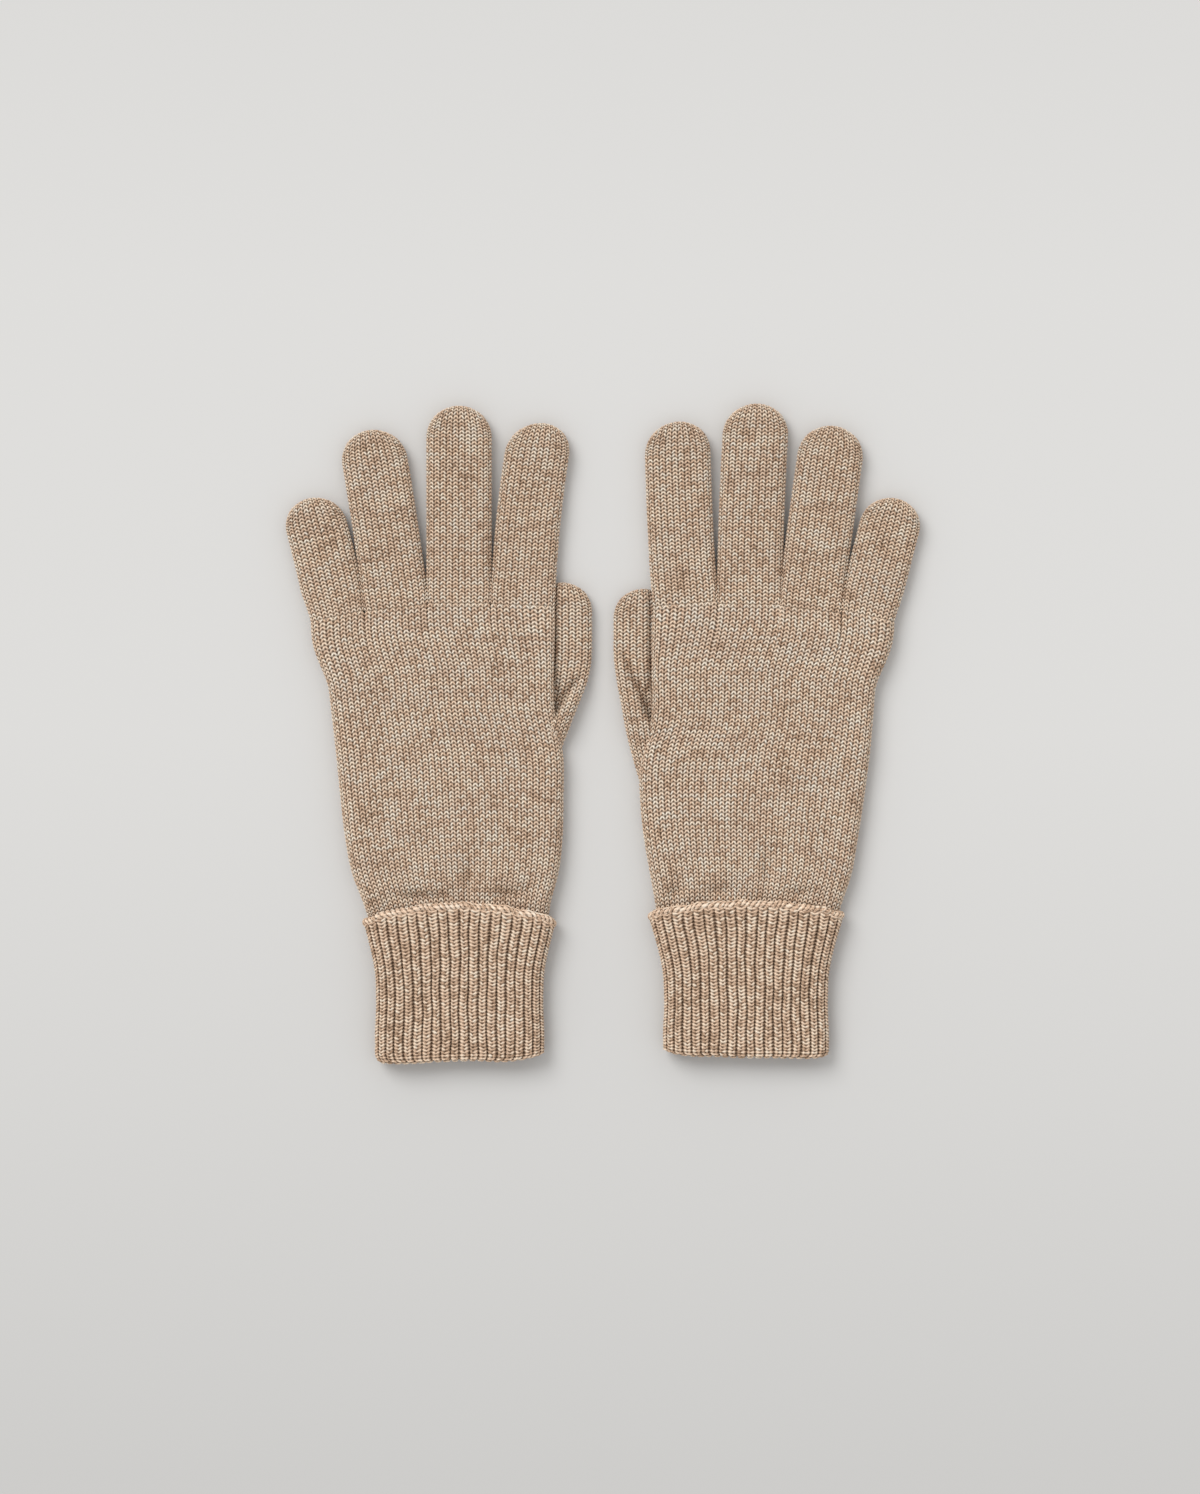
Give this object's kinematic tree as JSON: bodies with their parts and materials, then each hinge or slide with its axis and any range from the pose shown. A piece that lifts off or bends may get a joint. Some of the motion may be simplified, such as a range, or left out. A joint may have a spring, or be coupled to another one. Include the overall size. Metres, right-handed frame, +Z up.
{
  "type": "knitted gloves",
  "caption": "Pair of plain knitted gloves with separate fingers, thumbs tucked under the hands and turned-up ribbed cuffs, lying palms down.",
  "frame": {"origin": "middle of the pair's footprint, on the surface that the gloves lie on", "axes": "+X across the pair from the left glove to the right glove, +Y from the cuffs to the fingertips, +Z up from the surface, through the backs of the hands"},
  "size_m": [0.2512, 0.2618, 0.0114],
  "materials": {
    "stocking_knit": "fine melange stocking-stitch knit, soft and slightly fuzzy",
    "rib_knit": "melange one-by-one rib knit",
    "bound_edge": "soft rolled bind-off edge of the rib"
  },
  "bodies": {
    "left_glove_hand": {"left_hand": "stocking_knit", "left_cuff_leg": "rib_knit", "left_cuff_turnback": "rib_knit", "left_cuff_edge": "bound_edge"},
    "left_index": {"left_index_finger": "stocking_knit"},
    "left_middle": {"left_middle_finger": "stocking_knit"},
    "left_ring": {"left_ring_finger": "stocking_knit"},
    "left_little": {"left_little_finger": "stocking_knit"},
    "left_thumb": {"left_thumb": "stocking_knit"},
    "right_glove_hand": {"right_hand": "stocking_knit", "right_cuff_leg": "rib_knit", "right_cuff_turnback": "rib_knit", "right_cuff_edge": "bound_edge"},
    "right_index": {"right_index_finger": "stocking_knit"},
    "right_middle": {"right_middle_finger": "stocking_knit"},
    "right_ring": {"right_ring_finger": "stocking_knit"},
    "right_little": {"right_little_finger": "stocking_knit"},
    "right_thumb": {"right_thumb": "stocking_knit"}
  },
  "joints": [
    {"name": "left_index_bend", "type": "hinge", "parent": "left_glove_hand", "child": "left_index", "pos_m": [-0.03168, 0.06132, 0], "axis": [-0.9994, 0.0349, 0], "range_deg": [0, 85]},
    {"name": "left_middle_bend", "type": "hinge", "parent": "left_glove_hand", "child": "left_middle", "pos_m": [-0.05745, 0.06203, 0], "axis": [-1, 0, 0], "range_deg": [0, 85]},
    {"name": "left_ring_bend", "type": "hinge", "parent": "left_glove_hand", "child": "left_ring", "pos_m": [-0.08373, 0.06015, 0], "axis": [-0.9925, -0.1219, 0], "range_deg": [0, 85]},
    {"name": "left_little_bend", "type": "hinge", "parent": "left_glove_hand", "child": "left_little", "pos_m": [-0.10803, 0.0567, 0], "axis": [-0.9781, -0.2079, 0], "range_deg": [0, 85]},
    {"name": "left_thumb_bend", "type": "hinge", "parent": "left_glove_hand", "child": "left_thumb", "pos_m": [-0.02204, -0.00114, 0], "axis": [-0.5592, 0.829, 0], "range_deg": [0, 60]},
    {"name": "right_glove_apart", "type": "slide", "parent": "left_glove_hand", "child": "right_glove_hand", "axis": [1, 0, 0], "range_m": [0, 0.12]},
    {"name": "right_index_bend", "type": "hinge", "parent": "right_glove_hand", "child": "right_index", "pos_m": [0.03204, 0.0618, 0], "axis": [-0.9971, -0.0767, 0], "range_deg": [0, 85]},
    {"name": "right_middle_bend", "type": "hinge", "parent": "right_glove_hand", "child": "right_middle", "pos_m": [0.0586, 0.06163, 0], "axis": [-0.9999, 0.014, 0], "range_deg": [0, 85]},
    {"name": "right_ring_bend", "type": "hinge", "parent": "right_glove_hand", "child": "right_ring", "pos_m": [0.08383, 0.05945, 0], "axis": [-0.9925, 0.1219, 0], "range_deg": [0, 85]},
    {"name": "right_little_bend", "type": "hinge", "parent": "right_glove_hand", "child": "right_little", "pos_m": [0.10798, 0.05687, 0], "axis": [-0.9751, 0.2215, 0], "range_deg": [0, 85]},
    {"name": "right_thumb_bend", "type": "hinge", "parent": "right_glove_hand", "child": "right_thumb", "pos_m": [0.02074, -0.00814, 0], "axis": [-0.5592, -0.829, 0], "range_deg": [0, 60]}
  ]
}
